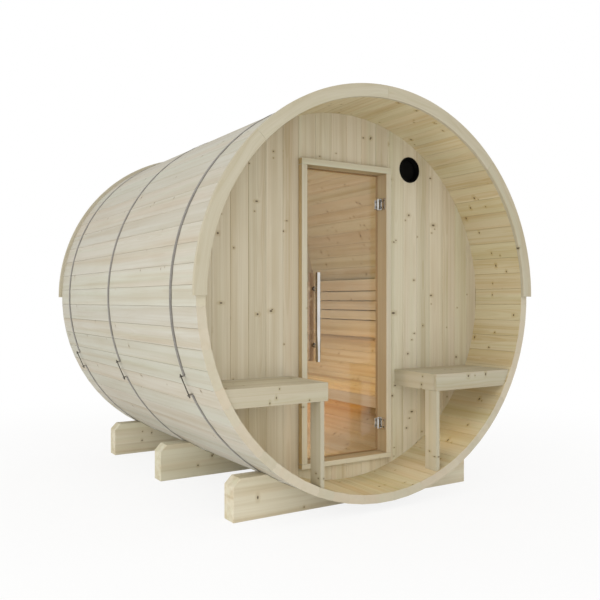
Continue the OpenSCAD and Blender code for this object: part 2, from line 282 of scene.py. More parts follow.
class Graph:
    """Short calls for building the nodes of one new material or world."""

    def __init__(self, owner, output="OutputMaterial"):
        owner.use_nodes = True
        self.owner = owner
        self.tree = owner.node_tree
        self.tree.nodes.clear()
        self.output = self.node(output)

    def feed(self, socket, value):
        if isinstance(value, bpy.types.NodeSocket):
            self.tree.links.new(value, socket)
        elif value is not None:
            socket.default_value = value

    def node(self, kind, inputs=None, **settings):
        made = self.tree.nodes.new("ShaderNode" + kind)
        for key, value in settings.items():
            setattr(made, key, value)
        for key, value in (inputs or {}).items():
            self.feed(made.inputs[key], value)
        return made

    def math(self, op, a, b=None, c=None, clamp=False):
        made = self.node("Math", operation=op, use_clamp=clamp)
        for socket, value in zip(made.inputs, (a, b, c)):
            self.feed(socket, value)
        return made.outputs[0]

    def vec(self, op, a, b=None, scale=None):
        made = self.node("VectorMath", operation=op)
        self.feed(made.inputs[0], a)
        self.feed(made.inputs[1], b)
        if scale is not None:
            self.feed(made.inputs["Scale"], scale)
        return made.outputs["Value" if op == "LENGTH" else "Vector"]

    def attribute(self, name):
        return self.node("Attribute", attribute_name=name).outputs["Vector"]

    def split(self, vector):
        return self.node("SeparateXYZ", {"Vector": vector}).outputs

    def join(self, x, y, z):
        return self.node("CombineXYZ", {"X": x, "Y": y, "Z": z}).outputs[0]

    def noise(self, vector, scale, detail=3.0, rough=0.5):
        inputs = {"Vector": vector, "Scale": scale, "Detail": detail, "Roughness": rough}
        return self.node("TexNoise", inputs).outputs["Fac"]

    def strips(self, vector, along, across, detail=3.0, rough=0.5, shift=None):
        """Noise drawn out along the first axis: along and across are its scales."""
        stretched = self.vec("MULTIPLY", vector, (along, across, across))
        if shift:
            stretched = self.vec("ADD", stretched, shift)
        return self.noise(stretched, 1.0, detail, rough)

    def smooth(self, value, low, high, out_low=0.0, out_high=1.0):
        inputs = {"Value": value, "From Min": low, "From Max": high, "To Min": out_low, "To Max": out_high}
        return self.node("MapRange", inputs, interpolation_type="SMOOTHSTEP").outputs["Result"]

    def mix(self, factor, a, b, blend="MIX"):
        inputs = {"Factor": factor, "A": a, "B": b}
        return self.node("Mix", inputs, data_type="RGBA", blend_type=blend).outputs["Result"]

    def bump(self, height, distance, strength=1.0):
        made = self.node("Bump", {"Height": height, "Distance": distance, "Strength": strength})
        return made.outputs["Normal"]

    def directly_seen(self):
        """1 for what the camera sees, also in a mirror or through glass, and 0 for light on other things."""
        path = self.node("LightPath").outputs
        seen = self.math("ADD", path["Is Camera Ray"], path["Is Glossy Ray"])
        return self.math("ADD", seen, path["Is Transmission Ray"], clamp=True)

    def surface(self, **inputs):
        made = self.node("BsdfPrincipled", {k.replace("_", " "): v for k, v in inputs.items()})
        self.feed(self.output.inputs["Surface"], made.outputs[0])

    def blend(self, share, first, second):
        """Makes the surface from two shader nodes; share is how much of the second one."""
        made = self.node("MixShader")
        for socket, value in zip(made.inputs, (share, first.outputs[0], second.outputs[0])):
            self.feed(socket, value)
        self.feed(self.output.inputs["Surface"], made.outputs[0])


def srgb(code):
    """Linear colour of an sRGB hex code."""
    out = []
    for i in (0, 2, 4):
        c = int(code[i:i + 2], 16) / 255
        out.append(c / 12.92 if c <= 0.04045 else ((c + 0.055) / 1.055) ** 2.4)
    return (*out, 1.0)


def scaled(colour, factor, lift=0.0):
    """A linear colour whose channels are scaled and lifted."""
    return tuple(min(1, c * factor + lift) for c in colour[:3]) + (1,)


def material_graph(name):
    return Graph(bpy.data.materials.new(name))


def knot_masks(g, p, share):
    """Masks (core, halo) of the knots, which grow in whorls, up to three at about one place along the board.
    share is how many of the three places in a whorl are taken."""
    spacing = 0.40
    x, y = g.split(p)[:2]
    cell = g.math("FLOOR", g.math("DIVIDE", x, spacing))

    def chance(number):
        made = g.node("TexWhiteNoise", {"Vector": g.join(cell, number, 0.0)}, noise_dimensions="2D")
        return made.outputs["Value"], g.split(made.outputs["Color"])

    whorl = g.math("MULTIPLY_ADD", chance(9.5)[0], 0.4, 0.1)
    wobble = g.math("MULTIPLY", g.math("SUBTRACT", g.noise(p, 140.0, 2.0), 0.5), 0.0022)
    core = halo = None
    for number in (1.5, 2.5, 3.5):
        value, (r, gr, b) = chance(number)
        there = g.math("LESS_THAN", value, share)
        size = g.math("MULTIPLY_ADD", g.math("MULTIPLY", gr, gr), 0.0038, 0.0030)
        offset = g.math("MULTIPLY_ADD", g.math("MULTIPLY", r, b), 0.7, whorl)
        along = g.math("MULTIPLY", g.math("ADD", cell, offset), spacing)
        dx = g.math("SUBTRACT", x, along)
        dy = g.math("SUBTRACT", y, g.math("MULTIPLY_ADD", r, 0.13, -0.065))
        wide = g.math("MULTIPLY_ADD", g.math("MULTIPLY", b, b), -0.5, 0.95)
        far = g.math("ADD", g.vec("LENGTH", g.join(dx, g.math("MULTIPLY", dy, wide), 0.0)), wobble)

        def ring_mask(outer, inner):
            edge = g.smooth(far, g.math("MULTIPLY", size, outer), g.math("MULTIPLY", size, inner))
            return g.math("MULTIPLY", edge, there)

        spot, rim = ring_mask(1.15, 0.45), ring_mask(3.6, 0.9)
        core = g.math("MAXIMUM", core, spot) if core else spot
        halo = g.math("MAXIMUM", halo, rim) if halo else rim
    return core, halo


def wood(name, light, dark, knots=0.5, rings=1.0, streaks=1.0, ring=3.2):
    """Planed spruce: soft streaks along the grain, faint growth rings, fibres, and small dark knots. ring is
    the width of a growth ring in millimetres, and the other numbers are shares or strengths."""
    g = material_graph(name)
    p = g.attribute("wood")
    y, z = g.split(p)[1:]
    tone, hue, cut = g.split(g.attribute("board"))
    core, halo = knot_masks(g, p, knots)

    # growth rings bend round the knots
    drift = g.math("MULTIPLY", g.math("SUBTRACT", g.strips(p, 1.4, 7.0, 2.0), 0.5), 0.022)
    bent = g.math("ADD", g.vec("LENGTH", g.join(0.0, y, z)), drift)
    bent = g.math("ADD", bent, g.math("MULTIPLY", halo, 0.0022))
    phase = g.math("FRACT", g.math("DIVIDE", bent, ring * MM))
    late = g.math("MULTIPLY", g.smooth(phase, 0.25, 0.85), g.smooth(phase, 1.0, 0.9))

    # streaks and fibres: amount is how far the colour goes from light to dark
    broad = g.strips(p, 0.6, 26.0, 2.0, 0.45)
    narrow = g.strips(p, 1.1, 75.0, 2.0)
    fibre = g.strips(p, 14.0, 620.0, 3.0, 0.6)
    cloud = g.strips(p, 2.2, 8.0)
    amount = g.math("MULTIPLY", late, g.math("MULTIPLY_ADD", cut, 0.20 * rings, 0.05 * rings))
    for source, low, high, share in ((broad, 0.38, 0.72, 0.48), (narrow, 0.45, 0.75, 0.26),
                                     (cloud, 0.4, 0.75, 0.24)):
        streak = g.math("MULTIPLY", g.smooth(source, low, high), share * streaks)
        amount = g.math("ADD", amount, streak)
    amount = g.math("ADD", amount, g.math("MULTIPLY", g.math("SUBTRACT", fibre, 0.5), 0.16))
    amount = g.math("ADD", amount, g.math("MULTIPLY", halo, 0.5), clamp=True)
    colour = g.mix(amount, srgb(light), srgb(dark))

    # strips and whole boards lean towards pink or towards green
    rosy = g.strips(p, 0.4, 19.0, 1.0, 0.4, (0.0, 40.0, 7.0))
    mossy = g.strips(p, 0.5, 23.0, 1.0, 0.4, (0.0, 90.0, 3.0))
    for strips, strip_share, boards, board_share, tint in (
            (rosy, 0.7, (0.55, 1.0), 0.45, (0.985, 0.93, 0.885, 1)),
            (mossy, 0.6, (0.45, 0.0), 0.5, (0.945, 0.98, 0.93, 1))):
        lean = g.math("ADD", g.math("MULTIPLY", g.smooth(strips, 0.5, 0.72), strip_share * streaks),
                      g.math("MULTIPLY", g.smooth(hue, *boards), board_share), clamp=True)
        colour = g.mix(lean, colour, tint, "MULTIPLY")
    colour = g.vec("SCALE", colour, scale=g.math("MULTIPLY_ADD", tone, 0.08, 0.95))
    colour = g.mix(g.math("MULTIPLY", core, 0.9), colour, srgb("4e3d2c"))

    height = g.math("ADD", g.math("MULTIPLY", fibre, 0.5), g.math("MULTIPLY", late, 0.35))
    height = g.math("SUBTRACT", height, g.math("MULTIPLY", core, 0.6))
    rough = g.math("MULTIPLY_ADD", fibre, 0.16, g.math("SUBTRACT", 0.60, g.math("MULTIPLY", core, 0.14)))
    g.surface(Base_Color=colour, Roughness=rough, Normal=g.bump(height, 0.0005, 0.45), Specular_IOR_Level=0.28)
    return g.owner


def metal(name, colour, rough, brushed=0.0, spangle=0.0):
    """Steel with a faint smear. brushed and spangle are the strengths of lines along Z and of zinc flakes."""
    g = material_graph(name)
    place = g.node("TexCoord").outputs["Object"]
    lines = g.noise(g.vec("MULTIPLY", place, (900.0, 900.0, 25.0)), 1.0, 3.0)
    smear = g.noise(place, 14.0, 4.0)
    level = g.math("MULTIPLY_ADD", smear, 0.10, rough - 0.05 - brushed / 2)
    level = g.math("MULTIPLY_ADD", lines, brushed, level)
    base = srgb(colour)
    tint = g.mix(g.smooth(smear, 0.3, 0.75), base, scaled(base, 0.86))
    if spangle:
        flakes = g.node("TexVoronoi", {"Vector": place, "Scale": 110.0}, feature="F1")
        bit = g.split(flakes.outputs["Color"])[0]
        tint = g.mix(g.math("MULTIPLY", bit, spangle), tint, scaled(base, 0.66))
        level = g.math("MULTIPLY_ADD", bit, 0.12, level)
    relief = g.bump(lines, 0.00006, 0.35 if brushed else 0.1)
    g.surface(Base_Color=tint, Metallic=1.0, Roughness=level, Normal=relief)
    return g.owner


def plastic(name, colour, rough, gloss=0.5):
    """Smooth plastic or satin paint with a fine grain and a little dust."""
    g = material_graph(name)
    place = g.node("TexCoord").outputs["Object"]
    grain = g.noise(place, 900.0, 2.0)
    dust = g.noise(place, 30.0, 4.0)
    base = srgb(colour)
    tint = g.mix(g.smooth(dust, 0.5, 0.85), base, scaled(base, 2.2, 0.004))
    g.surface(Base_Color=tint, Roughness=g.math("MULTIPLY_ADD", grain, 0.15, rough - 0.07),
              Normal=g.bump(grain, 0.00008, 0.4), Specular_IOR_Level=gloss)
    return g.owner


def tinted_glass(name, colour):
    """Sheet glass: light goes straight through with a tint, and the surface mirrors by its angle."""
    g = material_graph(name)
    haze = g.noise(g.node("TexCoord").outputs["Object"], 3.0, 3.0)
    base = srgb(colour)
    tint = g.mix(g.smooth(haze, 0.3, 0.8), base, scaled(base, 0.97))
    through = g.node("BsdfTransparent", {"Color": tint})
    mirror = g.node("BsdfGlossy", {"Roughness": 0.015, "Color": (1, 1, 1, 1)})
    # mirroring by Schlick's rule, which is the same from both sides of the sheet
    head_on = 0.035
    away = g.node("LayerWeight", {"Blend": 0.5}).outputs["Facing"]
    g.blend(g.math("MULTIPLY_ADD", g.math("POWER", away, 5.0), 1 - head_on, head_on), through, mirror)
    return g.owner


STAVE_WOOD = wood("staves", "c6c3b8", "b7ae9b", knots=0.30)
STAVE_INNER = wood("staves_inside", "d3c9ab", "bca87a", knots=0.65)
STAVE_END = wood("stave_ends", "cac1ae", "bcb095", knots=0.0, streaks=0.35, ring=4.0)
ARCH_WOOD = wood("arch_boards", "c2baa8", "b1a58a", knots=0.2, streaks=0.8)
WALL_WOOD = wood("wall_boards", "d2cab6", "baac8f", knots=0.6)
FRAME_WOOD = wood("door_frame", "c9c3b1", "b3a88c", knots=0.25, streaks=0.8)
# darker, oranger copy of the frame wood for the frame's outer side faces: painted shade for the warm shadow
# beside the frame
OUTER_SIDE_PAINTED_SHADE = wood("door_frame_side_painted_shade", "c4af8a", "ae966c", knots=0.15, streaks=0.8)
# darker, oranger copy of the frame wood for the faces round the door opening: painted shade
REVEAL_PAINTED_SHADE = wood("door_frame_reveal_painted_shade", "af9e80", "9b8865", knots=0.15, streaks=0.8)
CRADLE_WOOD = wood("cradle_wood", "dcd6c2", "c3b698", knots=0.95, rings=0.5, ring=4.5)
BENCH_WOOD = wood("bench_wood", "c0b9a6", "ada285", knots=0.85, streaks=0.8)
INNER_WOOD = wood("inner_wood", "d3c8ad", "b9a37a", knots=0.3)
BAND_STEEL = metal("band_steel", "9d9890", 0.45, spangle=0.4)
ROD_STEEL = metal("rod_steel", "77746c", 0.42, spangle=0.25)
HANDLE_STEEL = metal("handle_steel", "dedcd8", 0.20, brushed=0.12)
INNER_GRIP = plastic("inner_grip", "c0b3a0", 0.45)
HINGE_CHROME = metal("hinge_chrome", "dad9d6", 0.16)
SCREW_STEEL = metal("screw_steel", "4a4947", 0.35)
VENT_BLACK = plastic("vent_black", "030302", 0.8, 0.15)
RUBBER = plastic("gasket", "202022", 0.7)
GLASS = tinted_glass("tinted_glass", "f4ece5")


# ---- barrel

def stave_profile():
    """Section of one stave as (radial, tangential), with a round tongue on one side and a cove on the other."""
    play, chamfer, tongue, flattened, steps = 0.15, 2.0, 7.5, 0.75, 7
    cos_h, sin_h = math.cos(HALF_A), math.sin(HALF_A)
    middle = (BARREL_R + INNER_R) / 2

    def side(r, out):
        return r * cos_h - out * sin_h, r * sin_h + out * cos_h

    def edge(sign):
        points = [side(INNER_R + chamfer, -play)]
        for k in range(steps + 1):
            a = math.pi * k / steps
            out = sign * flattened * tongue * math.sin(a) - play
            points.append(side(middle - tongue * math.cos(a), out))
        return points + [side(BARREL_R - chamfer * 1.3, -play)]

    plus = edge(1)
    minus = [(u, -v) for u, v in edge(-1)]
    outer_u, outer_v = BARREL_R * cos_h, BARREL_R * sin_h
    inner_u, inner_v = INNER_R * cos_h, INNER_R * sin_h
    return (plus + [(outer_u, outer_v - chamfer), (outer_u, -outer_v + chamfer)]
            + minus[::-1] + [(inner_u, -inner_v + chamfer), (inner_u, inner_v - chamfer)])


def staves():
    """The shell, in runs of whole staves. Each stave stands out by a little more or less than its neighbour."""
    profile = stave_profile()
    for i in range(SEGMENTS):
        piece = Piece("staves_%02d" % (i + 1))
        first = math.floor(i * STAVES / SEGMENTS + 0.5)
        last = math.floor((i + 1) * STAVES / SEGMENTS + 0.5)
        for k in range(first, last):
            a = k * STAVE_A
            lift = piece.seed.uniform(-0.5, 0.0)
            cos_a, sin_a = math.cos(a), math.sin(a)

            def place(u, v, y, lift=lift, c=cos_a, s=sin_a):
                u = u + lift
                return u * c - v * s, y, AXIS_Z + u * s + v * c

            def grain(p, c=cos_a, s=sin_a):
                x, h = p[0], p[2] - AXIS_Z
                return p[1], -x * s + h * c, x * c + h * s - (BARREL_R - STAVE_T / 2)

            # slot 2 is the wood of the stave's two ends, which come first, and slot 1 that of its inner faces
            verts, faces = extrude(profile, Y0, Y1, place)
            n = len(faces)
            piece.add(verts, faces, grain, slots={n - 1: 1, n - 2: 1, n - 3: 1, 0: 2, 1: 2})
        piece.done(STAVE_WOOD, "staves", replaces=["shell_%02d" % (i + 1)], others=(STAVE_INNER, STAVE_END))


def arch(name, node):
    """Half ring of curved boards of one shade, butt jointed, with eased edges."""
    low, high = box(node)
    parts, steps = 4, 34
    gap = 0.05 / BARREL_R
    piece = Piece(name)
    shade = piece.draw()[1]

    def grain(p):
        x, h = p[0], p[2] - AXIS_Z
        return math.atan2(h, x) * BARREL_R, math.hypot(x, h) - BARREL_R, p[1] - low[1]

    for k in range(parts):
        start = math.pi * k / parts + (gap if k else 0)
        end = math.pi * (k + 1) / parts - (gap if k < parts - 1 else 0)
        outline = arc(ARCH_R, start, end, steps) + arc(INNER_FLAT + 0.2, end, start, steps)
        solid = bevelled(extrude(outline, low[1], high[1], from_xz), 1.6, angle=40)
        piece.add(*solid, grain, look=(piece.draw()[0], shade))
    piece.done(ARCH_WOOD, "arch_boards", replaces=[node])


# ---- end walls

def inner_height(x):
    """Height above the axis where the barrel's many-sided inside meets a vertical line at x, less some play."""
    play, rounds = 0.4, 6
    x = min(abs(x), INNER_R - 1)
    a = math.acos(x / INNER_R)
    for _ in range(rounds):
        off_middle = (a + HALF_A) % STAVE_A - HALF_A
        r = INNER_FLAT / math.cos(off_middle)
        a = math.acos(min(1, x / r))
    return r * math.sin(a) - play


def groove_board(piece, left, right, y_front, y_back, low_at, high_at, look, grooves):
    """Upright board whose ends follow low_at(x) and high_at(x). grooves says which of its two edges, left and
    right, has a V-groove."""
    groove, gap, step = 2.2, 0.1, 6
    c0, c1 = (groove if g else 0.0 for g in grooves)
    steps = max(4, int((right - left) / step))
    inner = [left + c0 + (right - left - c0 - c1) * k / steps for k in range(steps + 1)]
    rows = []
    for y, inwards in ((y_front, groove), (y_back, -groove)):
        row = [(x, y) for x in inner]
        if c0:
            row.insert(0, (left + gap, y + inwards))
        if c1:
            row.append((right - gap, y + inwards))
        rows += row
    verts = [(x, y, AXIS_Z + level(x)) for level in (low_at, high_at) for x, y in rows]
    grain = along_axis(UPRIGHT, (0, (y_front + y_back) / 2, 0))
    piece.add(verts, strip_faces(len(rows) // 2), grain, look=look)


def wall_edges(x0, x1):
    """Where along X the wall boards between x0 and x1 meet, so that none is a sliver."""
    least = 8
    edges = [x0]
    k = math.ceil((x0 - GROOVE_AT) / GROOVE_PITCH)
    while GROOVE_AT + k * GROOVE_PITCH < x1:
        if GROOVE_AT + k * GROOVE_PITCH - edges[-1] > least:
            edges.append(GROOVE_AT + k * GROOVE_PITCH)
        k += 1
    if x1 - edges[-1] < least:
        edges.pop()
    return edges + [x1]


def wall(name, node, low_at, high_at, limits, hole=None):
    """Upright boards between two limits along X. hole is (x, height above the axis, radius)."""
    low, high = box(node)
    piece = Piece(name)

    def half(x):
        """Half the hole's height at x."""
        return math.sqrt(max(0.0, hole[2] ** 2 - (x - hole[0]) ** 2))

    edges = wall_edges(*limits)
    for left, right in zip(edges, edges[1:]):
        shift, shade = piece.draw()
        look = (shift[0], shift[1] - (left + right) / 2, shift[2]), shade
        ends = [left, right]
        if hole:
            ends += [x for x in (hole[0] - hole[2], hole[0] + hole[2]) if left < x < right]
        ends.sort()
        for a, b in zip(ends, ends[1:]):
            spans = [(low_at, high_at)]
            if hole and abs((a + b) / 2 - hole[0]) < hole[2]:
                spans = [(low_at, lambda x: hole[1] - half(x)), (lambda x: hole[1] + half(x), high_at)]
            for bottom, top in spans:
                groove_board(piece, a, b, low[1], high[1], bottom, top, look, (a == left, b == right))
    piece.done(WALL_WOOD, "wall_boards", replaces=[node])


def walls():
    frame_low, frame_high = box("door_sill")[0], box("door_head")[1]
    half = frame_high[0]
    top, bottom = frame_high[2] - AXIS_Z, frame_low[2] - AXIS_Z
    rim = INNER_FLAT - 3

    def lower(x):
        return -inner_height(x)

    vent_low, vent_high = box("vent_sleeve")
    flange_lap = 2.2
    hole = ((vent_low[0] + vent_high[0]) / 2, (vent_low[2] + vent_high[2]) / 2 - AXIS_Z,
            (vent_high[0] - vent_low[0]) / 2 - flange_lap)
    wall("wall_left", "front_wall_left", lower, inner_height, (-rim, -half))
    wall("wall_right", "front_wall_right", lower, inner_height, (half, rim), hole)
    wall("wall_over_door", "front_wall_over_door", lambda x: top, inner_height, (-half, half))
    wall("wall_under_door", "front_wall_under_door", lower, lambda x: bottom, (-half, half))
    wall("wall_rear", "rear_wall", lower, inner_height, (-rim, rim))


def vent():
    """Flange and sleeve, closed at the far end by a plate, with a round valve disc in the bore."""
    low, high = box("vent_sleeve")
    wall_y = box("front_wall_right")[0][1]
    place = turned(((low[0] + high[0]) / 2, wall_y, (low[2] + high[2]) / 2), "y")
    steps = 72
    r = (high[0] - low[0]) / 2
    bore, disc = r - 7, r - 17
    flange, depth = low[1] - wall_y, high[1] - wall_y
    piece = Piece("vent")
    lathe(piece, [(bore, flange + 1.2), (bore + 1.0, flange + 0.3), (bore + 2.4, flange),
                  (r - 3.0, flange + 0.6), (r - 1.0, flange + 1.8), (r, flange + 3.4), (r, -0.2),
                  (bore + 4, -0.2), (bore + 4, depth), (bore + 3.9, depth), (bore, depth), (bore, depth - 6)],
          place, steps)
    lathe(piece, [(0, depth - 5), (bore - 0.5, depth - 5), (bore - 0.2, depth - 4), (bore - 0.2, depth - 1.2),
                  (bore - 0.5, depth - 0.6), (0, depth - 0.6)], place, steps)
    lathe(piece, [(0, depth - 15), (disc - 6, depth - 15), (disc - 4, depth - 17), (disc - 1, depth - 17),
                  (disc, depth - 15.5), (disc, depth - 12), (disc - 2, depth - 11), (6, depth - 11),
                  (5, depth - 5), (0, depth - 5)], place, steps)
    piece.done(VENT_BLACK, "vent_black", replaces=["vent_sleeve"])


# ---- door

def door_frame():
    """Jambs, head and sill, each with its stop, and a low threshold under the glass."""
    jl, jh = box("door_jamb_left")
    rl, rh = box("door_jamb_right")
    hl, hh = box("door_head")
    sl, sh = box("door_sill")
    glass_low, glass_high = box("door_glass")
    open_left, open_right = -rl[0], rl[0]
    open_low, open_top = rl[2], rh[2]
    seal, stop_t, gap, hair, eased, less_eased = 5, 12, 0.2, 0.05, 2.0, 1.5
    stop_y = glass_high[1] + seal
    stop_end = stop_y + stop_t
    stop_x, head_stop, sill_stop = jh[0], hl[2] + 6, sh[2] - 5
    threshold_y, threshold_top = jl[1] + 30, glass_low[2] - 5

    def painted_shade_slot(x, y, z):
        """Material number of a face: 2 for painted shade on the frame's outer sides, 1 for painted shade on the
        faces round the opening behind the front, 0 elsewhere.
        """
        if abs(x) > rh[0] - 0.1:
            return 2
        opening = open_left - 1 < x < open_right + 1 and open_low - 1 < z < open_top + 1
        return 1 if opening and y > jl[1] + 2 else 0

    def timber(name, node, axis, *boards):
        piece = Piece(name)
        for low, high, width in boards:
            plank(piece, low, high, axis, width, painted_shade_slot)
        # slots 1 and 2 are darker, oranger copies of the frame wood: painted shade on the reveal and on the
        # outer sides
        piece.done(FRAME_WOOD, "door_frame", replaces=[node], others=(REVEAL_PAINTED_SHADE, OUTER_SIDE_PAINTED_SHADE))

    low_z, top_z = open_low + gap, open_top - gap
    timber("jamb_left", "door_jamb_left", UPRIGHT_CORNER,
           ((jl[0], jl[1], low_z), (open_left, jh[1], top_z), eased),
           ((open_left + hair, stop_y, low_z), (stop_x, stop_end, top_z), less_eased))
    timber("jamb_right", "door_jamb_right", UPRIGHT_CORNER,
           ((rl[0], rl[1], low_z), (rh[0], rh[1], top_z), eased))
    stop_left, stop_right = stop_x + gap, open_right - gap
    timber("head", "door_head", LEVEL_CORNER,
           ((hl[0], hl[1], open_top), hh, eased),
           ((stop_left, stop_y, head_stop), (stop_right, stop_end, open_top - hair), less_eased))
    timber("sill", "door_sill", LEVEL_CORNER,
           (sl, (sh[0], sh[1], open_low), eased),
           ((stop_left, stop_y, open_low + hair), (stop_right, stop_end, sill_stop), less_eased),
           ((open_left + gap, threshold_y, open_low + hair), (stop_right, stop_y - gap, threshold_top), 1.0))


def door():
    """Glass leaf with a bar handle on both sides, whose mounts go through rubber rings on the glass."""
    low, high = box("door_glass")
    piece = Piece("glass_leaf")
    plank(piece, low, high, UPRIGHT, 0.9)
    piece.done(GLASS, "tinted_glass", "door", ["door_glass"])

    hl, hh = box("door_handle")
    bar_r, bar_offset, half_fixing = 14, 34, 150
    x, middle = (hl[0] + hh[0]) / 2, (hl[2] + hh[2]) / 2
    half = (hh[2] - hl[2]) / 2
    glass_middle = (low[1] + high[1]) / 2
    handle, seals = Piece("handle"), Piece("handle_seals")
    for sign, slot in ((-1, 0), (1, 1)):
        lathe(handle, [(0, -half), (bar_r - 1.4, -half), (bar_r - 0.5, -half + 0.35), (bar_r, -half + 1.3),
                       (bar_r, half - 1.3), (bar_r - 0.5, half - 0.35), (bar_r - 1.4, half), (0, half)],
              turned((x, glass_middle + sign * bar_offset, middle), "z"), 56, slot)
    for z in (middle - half_fixing, middle + half_fixing):
        for y, sign in ((low[1], -1), (high[1], 1)):
            reach = abs(glass_middle + sign * bar_offset - y) - bar_r + 2
            place = turned((x, y, z), "y", sign)
            lathe(handle, [(0, -3.9), (5.6, -3.9), (5.6, 0.1), (10.5, 0.1), (11, 0.6), (11, 2.6), (10.4, 3.2),
                           (8.2, 3.4), (8, 4.2), (8, reach), (0, reach)], place, 40)
            lathe(seals, [(6.2, 0.02), (11.8, 0.02), (12, 0.25), (11.8, 0.55), (11.2, 0.7), (6.2, 0.7)],
                  place, 40)
    handle.done(HANDLE_STEEL, "handle_steel", "door", ["door_handle"], [INNER_GRIP])
    seals.done(RUBBER, "vent_black", "door")


def hinges():
    """Two hinges: a plate with two lugs on the jamb, and a knuckle with a clamp that grips the glass."""
    low, high = box("hinge_leaves")
    clamp_x = box("hinge_clamps")[0][0]
    glass_y = box("door_glass")[0][1]
    height, plate_t, clamp_t = 64, 4, 5
    lug_t, lug_r, pin_r, knuckle_r = 6, 7, 3.2, 8
    plate_x = high[0] - plate_t
    pin_x, pin_y = plate_x - knuckle_r - 2, glass_y - knuckle_r - 4
    plate_rows, plate_rise, clamp_row, clamp_rise = (11, 29), 19, 8, 14
    plate_screw = [(0, 0), (4.1, 0), (4.0, -0.7), (3.2, -1.5), (1.9, -1.9), (1.5, -1.2), (0, -1.2)]
    clamp_screw = [(0, 0), (4.4, 0), (4.3, -0.5), (3.6, -1.0), (2.2, -1.2), (2.0, -0.5), (0, -0.5)]
    leaves, clamps, screws = Piece("hinge_leaves_fixed"), Piece("hinge_clamps_moving"), Piece("hinge_screws")
    clamp_screws = Piece("clamp_screws")
    for z in (low[2] + height / 2, high[2] - height / 2):
        plate = rectangle((low[1], z - height / 2), (glass_y - clamp_t, z + height / 2))
        leaves.add(*bevelled(extrude(plate, plate_x, high[0], from_yz), 0.8), smooth=True)
        for s in (-1, 1):
            zc = z + s * (height - lug_t) / 2
            half_ring = [math.pi / 2 + math.pi * k / 12 for k in range(13)]
            lug = [(pin_x + lug_r * math.cos(a), pin_y + lug_r * math.sin(a)) for a in half_ring]
            lug += [(plate_x + 1, pin_y - lug_r), (plate_x + 1, pin_y + lug_r)]
            solid = extrude(lug, zc - lug_t / 2, zc + lug_t / 2, from_xy)
            leaves.add(*bevelled(solid, 0.5, angle=40), smooth=True)
            end = s * lug_t / 2
            pin = [(0, -end), (pin_r, -end), (pin_r, end), (0, end)]
            lathe(leaves, pin, turned((pin_x, pin_y, zc), "z"), 32)
            for row in plate_rows:
                lathe(screws, plate_screw, turned((plate_x, low[1] + row, z + s * plate_rise), "x"), 24)
        half = (height - 2 * lug_t - 0.6) / 2
        lathe(clamps, [(0, -half), (knuckle_r - 0.6, -half), (knuckle_r, -half + 0.6), (knuckle_r, half - 0.6),
                       (knuckle_r - 0.6, half), (0, half)], turned((pin_x, pin_y, z), "z"), 48)
        clamp = rectangle((clamp_x, glass_y - clamp_t), (pin_x + 2, glass_y - 0.05))
        clamps.add(*bevelled(extrude(clamp, z - half, z + half, from_xy), 0.8), smooth=True)
        for s in (-1, 1):
            place = turned((clamp_x + clamp_row, glass_y - clamp_t, z + s * clamp_rise), "y")
            lathe(clamp_screws, clamp_screw, place, 24)
    leaves.done(HINGE_CHROME, "hinge_chrome", replaces=["hinge_leaves"])
    screws.done(SCREW_STEEL, "hinge_chrome")
    clamps.done(HINGE_CHROME, "hinge_chrome", "door", ["hinge_clamps"])
    clamp_screws.done(SCREW_STEEL, "hinge_chrome", "door")


# ---- bands and cradles

# The open stretch between a band's two ears, which its tensioner rod bridges
EAR_AT, EAR_SPAN = math.radians(201), math.radians(5.2)


def band_line():
    """Inner line of a strip, which goes round from the lower ear to the upper ear. Both ends bend outwards."""
    ear_h, bend, bend_steps, steps = 22, 4.0, 4, 300
    start, end = EAR_AT + EAR_SPAN, EAR_AT + 2 * math.pi

    def ear(a, away):
        points = [(CLEAR_R + ear_h, a)]
        for k in range(bend_steps, -1, -1):
            q = math.pi / 2 * k / bend_steps
            points.append((CLEAR_R + bend * (1 - math.cos(q)), a + away * (bend * (1 - math.sin(q))) / CLEAR_R))
        return points

    lead = bend / CLEAR_R
    middle = [(CLEAR_R, start + lead + (end - start - 2 * lead) * k / steps) for k in range(1, steps)]
    path = ear(start, 1) + middle + ear(end, -1)[::-1]
    return [(r * math.cos(a), r * math.sin(a)) for r, a in path]


def band(name):
    """One strip round the barrel. Returns where it lies along Y."""
    low, high = box(name)
    y = (low[1] + high[1]) / 2
    half_width, thickness = 12.5, 1.5
    inner, outer = band_line(), []
    for i, (x, z) in enumerate(inner):
        before, after = inner[max(i - 1, 0)], inner[min(i + 1, len(inner) - 1)]
        dx, dz = after[0] - before[0], after[1] - before[1]
        d = math.hypot(dx, dz)
        outer.append((x + dz / d * thickness, z - dx / d * thickness))
    piece = Piece(name + "_strip")
    verts = [from_xz(a, b, side) for side in (y - half_width, y + half_width) for a, b in inner + outer]
    piece.add(verts, strip_faces(len(inner)), smooth=True)
    piece.done(BAND_STEEL, "band_steel", replaces=[name])
    return y


